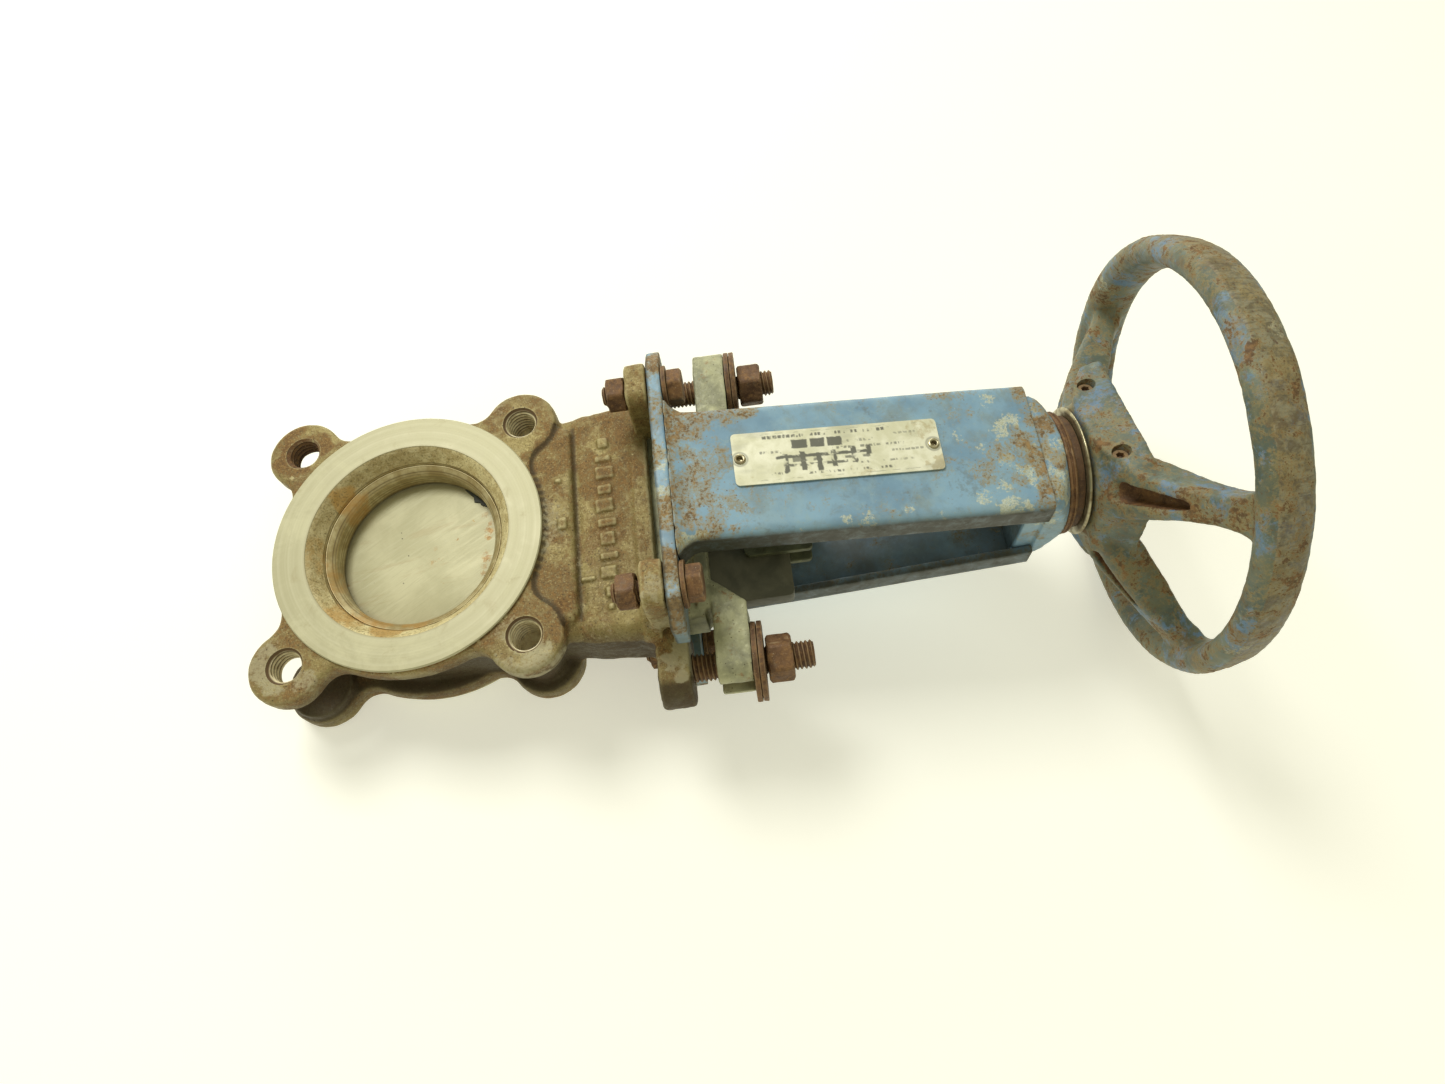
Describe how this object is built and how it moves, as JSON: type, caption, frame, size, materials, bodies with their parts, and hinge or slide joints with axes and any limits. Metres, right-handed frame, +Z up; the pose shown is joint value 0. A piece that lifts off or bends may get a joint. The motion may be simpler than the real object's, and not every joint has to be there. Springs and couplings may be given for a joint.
{
  "type": "gate valve",
  "caption": "Lugged wafer knife gate valve with a round port, a bolted gland, a two-leg channel yoke, a rising stem and a three-spoke handwheel.",
  "frame": {"origin": "centre of the port, on the pipe axis, halfway between the two raised faces", "axes": "+Z up the stem towards the handwheel, +Y along the pipe axis away from the nameplate side, +X completes the right-handed frame"},
  "size_m": [0.2018, 0.2018, 0.4379],
  "materials": {
    "cast_body": "stained bare casting with machined faces",
    "gate_steel": "scratched",
    "seat_metal": "machined, stained",
    "packing": "braided, matte",
    "grey_casting": "dull grey casting",
    "rusted_steel": "dark rust",
    "blue_paint": "semi-gloss paint, rusted in places",
    "faded_paint": "faded, worn paint",
    "bronze": "satin",
    "bright_steel": "satin",
    "label_plate": "satin, smudged"
  },
  "bodies": {
    "valve": {"bearing_retainer": "rusted_steel", "gland_follower": "grey_casting", "gland_nut_left": "rusted_steel", "gland_nut_right": "rusted_steel", "gland_stud_left": "rusted_steel", "gland_stud_right": "rusted_steel", "gland_washer_lower_left": "rusted_steel", "gland_washer_lower_right": "rusted_steel", "gland_washer_upper_left": "rusted_steel", "gland_washer_upper_right": "rusted_steel", "nameplate": "label_plate", "nameplate_screw_lower": "bright_steel", "nameplate_screw_upper": "bright_steel", "packing_ring_1": "packing", "packing_ring_2": "packing", "packing_ring_3": "packing", "seat_ring_front": "seat_metal", "seat_ring_rear": "seat_metal", "thrust_bearing_lower": "bright_steel", "thrust_bearing_upper": "bright_steel", "valve_body": "cast_body", "yoke_base_front": "blue_paint", "yoke_base_rear": "blue_paint", "yoke_bolt_front_left": "rusted_steel", "yoke_bolt_front_right": "rusted_steel", "yoke_bolt_rear_left": "rusted_steel", "yoke_bolt_rear_right": "rusted_steel", "yoke_head": "blue_paint", "yoke_leg_front": "blue_paint", "yoke_leg_rear": "blue_paint", "yoke_nut_front_left": "rusted_steel", "yoke_nut_front_right": "rusted_steel", "yoke_nut_rear_left": "rusted_steel", "yoke_nut_rear_right": "rusted_steel", "yoke_washer_front_left": "rusted_steel", "yoke_washer_front_right": "rusted_steel", "yoke_washer_rear_left": "rusted_steel", "yoke_washer_rear_right": "rusted_steel"},
    "wheel_group": {"handwheel": "faded_paint", "drive_sleeve": "bronze", "dust_ring": "bright_steel", "wheel_key": "rusted_steel", "wheel_nut": "rusted_steel"},
    "gate_group": {"gate": "gate_steel", "stem": "bright_steel", "clevis_plate_front": "gate_steel", "clevis_plate_rear": "gate_steel", "clevis_bolt_left": "rusted_steel", "clevis_bolt_right": "rusted_steel", "clevis_bolt_stem": "rusted_steel", "clevis_nut_left": "rusted_steel", "clevis_nut_right": "rusted_steel", "clevis_nut_stem": "rusted_steel"}
  },
  "joints": [
    {"name": "handwheel_turn", "type": "hinge", "parent": "valve", "child": "wheel_group", "pos_m": [0, 0, 0.32], "axis": [0, 0, 1], "range_deg": [0, 7056]},
    {"name": "gate_slide", "type": "slide", "parent": "valve", "child": "gate_group", "axis": [0, 0, 1], "range_m": [0, 0.083]}
  ],
  "couplings": [
    {"joint": "gate_slide", "follows": "handwheel_turn", "m_per_rad": 0.00067375}
  ]
}
